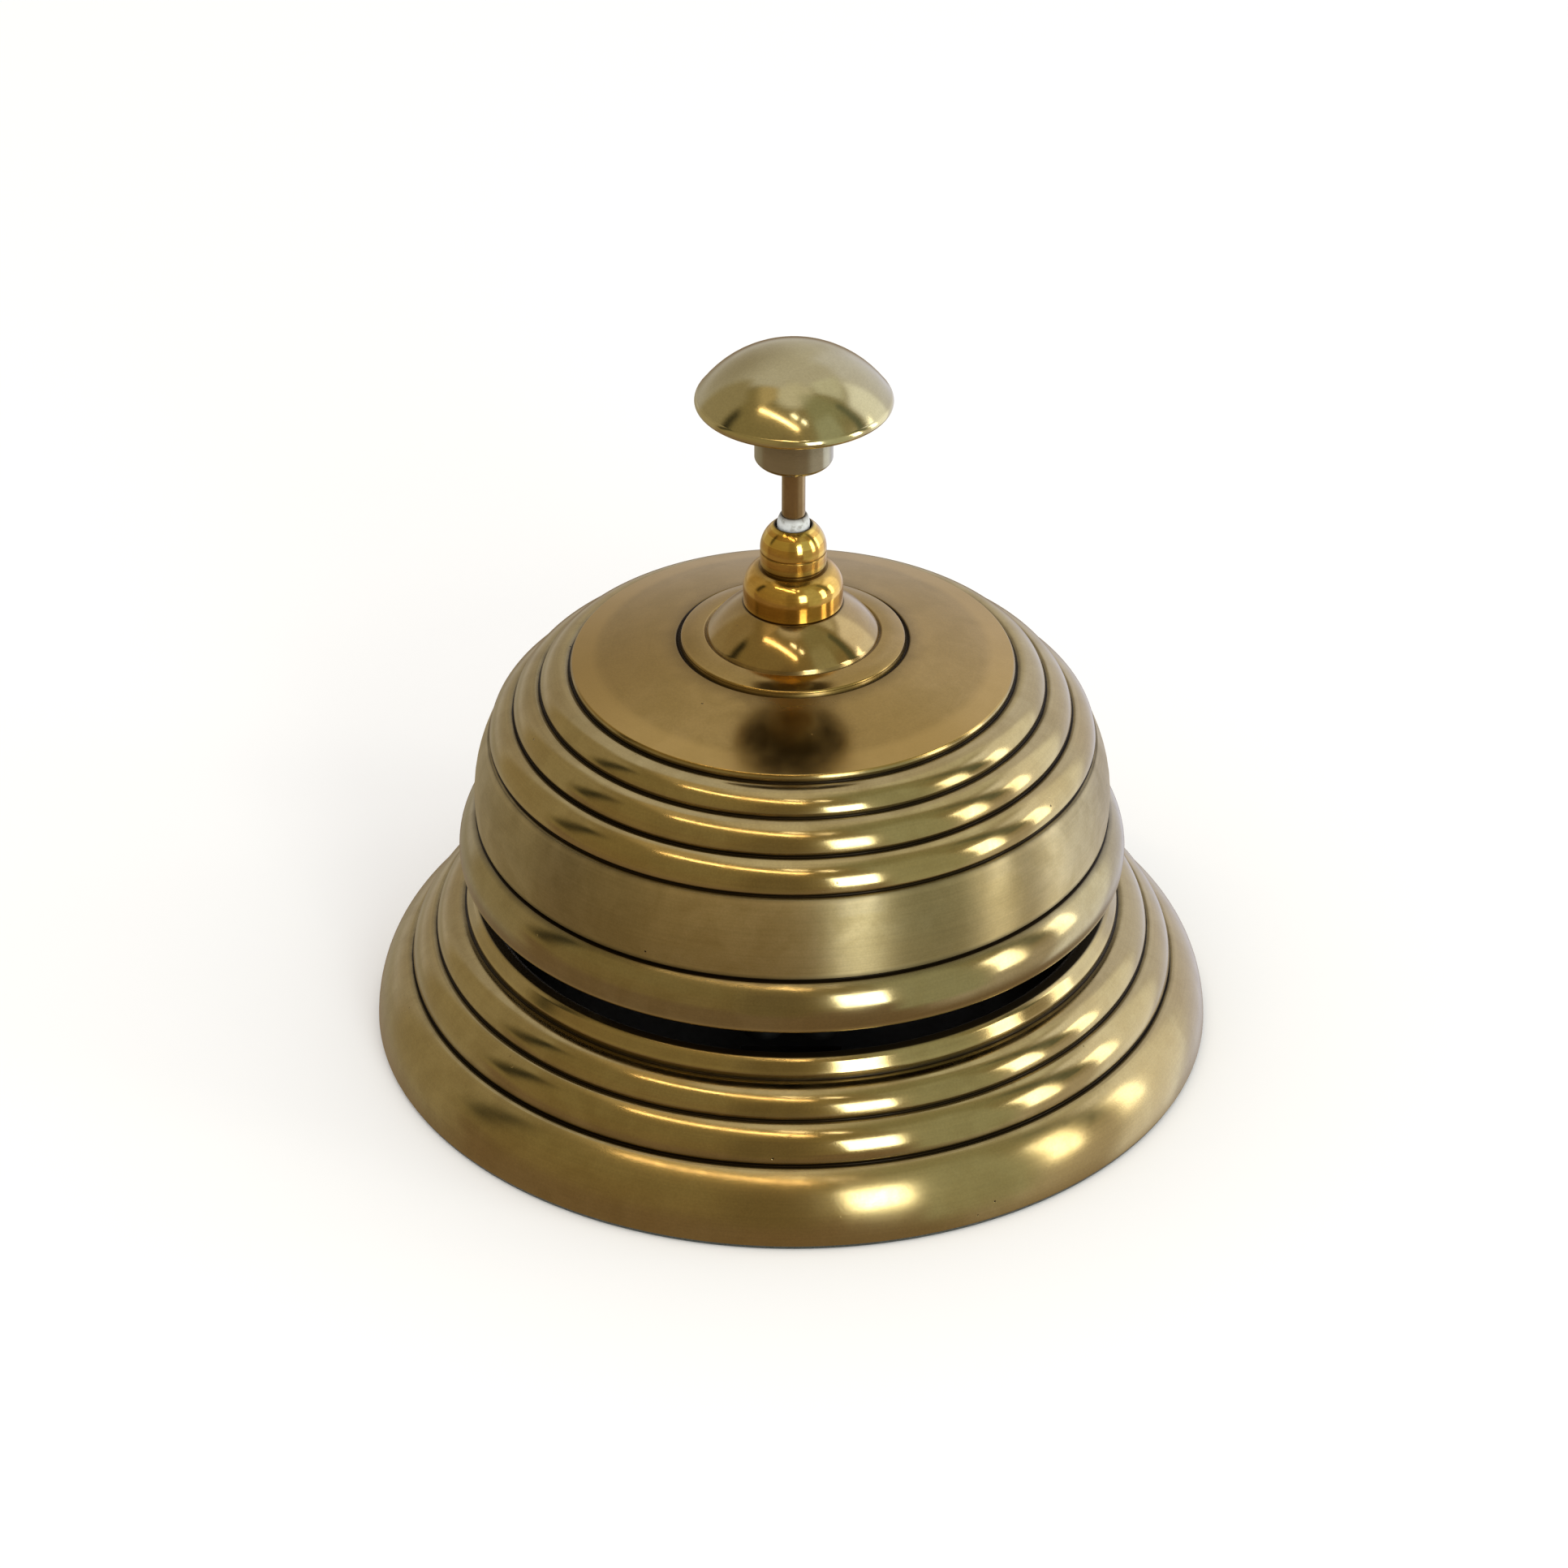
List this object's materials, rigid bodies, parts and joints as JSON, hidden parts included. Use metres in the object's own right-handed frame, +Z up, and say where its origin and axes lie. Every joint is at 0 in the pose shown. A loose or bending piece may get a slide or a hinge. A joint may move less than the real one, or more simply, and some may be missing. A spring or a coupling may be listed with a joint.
{
  "type": "counter bell",
  "caption": "Turned brass reception bell: stepped base, beaded dome, polished finial and a sprung push knob that swings a striker inside.",
  "frame": {"origin": "centre of the felt's underside, on the desk", "axes": "+Z up the stem, +X towards the striker, +Y to the back"},
  "size_m": [0.15, 0.15, 0.1346],
  "materials": {
    "antique_brass": "satin, patinated in the grooves",
    "polished_brass": "polished, lacquered",
    "stem_brass": "drawn, brushed along the length",
    "collar_brass": "satin, grey-green",
    "white_nylon": "matt",
    "felt": "dark felt",
    "black_steel": "black lacquer",
    "steel": "zinc plated",
    "fibre": "vulcanised fibre",
    "rubber": "matt"
  },
  "bodies": {
    "base": {"base_skirt": "antique_brass", "base_plate": "black_steel", "felt_pad": "felt", "base_screws": "steel", "mechanism_frame": "black_steel", "frame_screws": "steel", "post_sleeve": "steel", "post_nut": "steel", "post_washer": "steel", "dome_washer": "fibre", "bell_dome": "antique_brass", "finial_nut": "polished_brass", "guide_bush": "white_nylon", "return_spring": "steel", "pivot_pin": "steel", "pivot_clip": "steel", "stop_pin": "steel", "stop_sleeve": "rubber"},
    "plunger": {"knob_cap": "antique_brass", "knob_collar": "collar_brass", "plunger_rod": "stem_brass", "plunger_collar": "steel"},
    "striker": {"striker_lever": "steel", "lever_bush": "stem_brass", "striker_head": "stem_brass", "striker_rivet": "steel"}
  },
  "joints": [
    {"name": "plunger_slide", "type": "slide", "parent": "base", "child": "plunger", "axis": [0, 0, -1], "range_m": [0, 0.006], "stiffness_N_per_m": 400, "springref_m": -0.006, "deforming": ["return_spring"]},
    {"name": "striker_pivot", "type": "hinge", "parent": "base", "child": "striker", "pos_m": [0.014, 0, 0.0559], "axis": [0, -1, 0], "range_deg": [0, 25]}
  ],
  "couplings": [
    {"joint": "striker_pivot", "follows": "plunger_slide", "rad_per_m": 72.5}
  ]
}
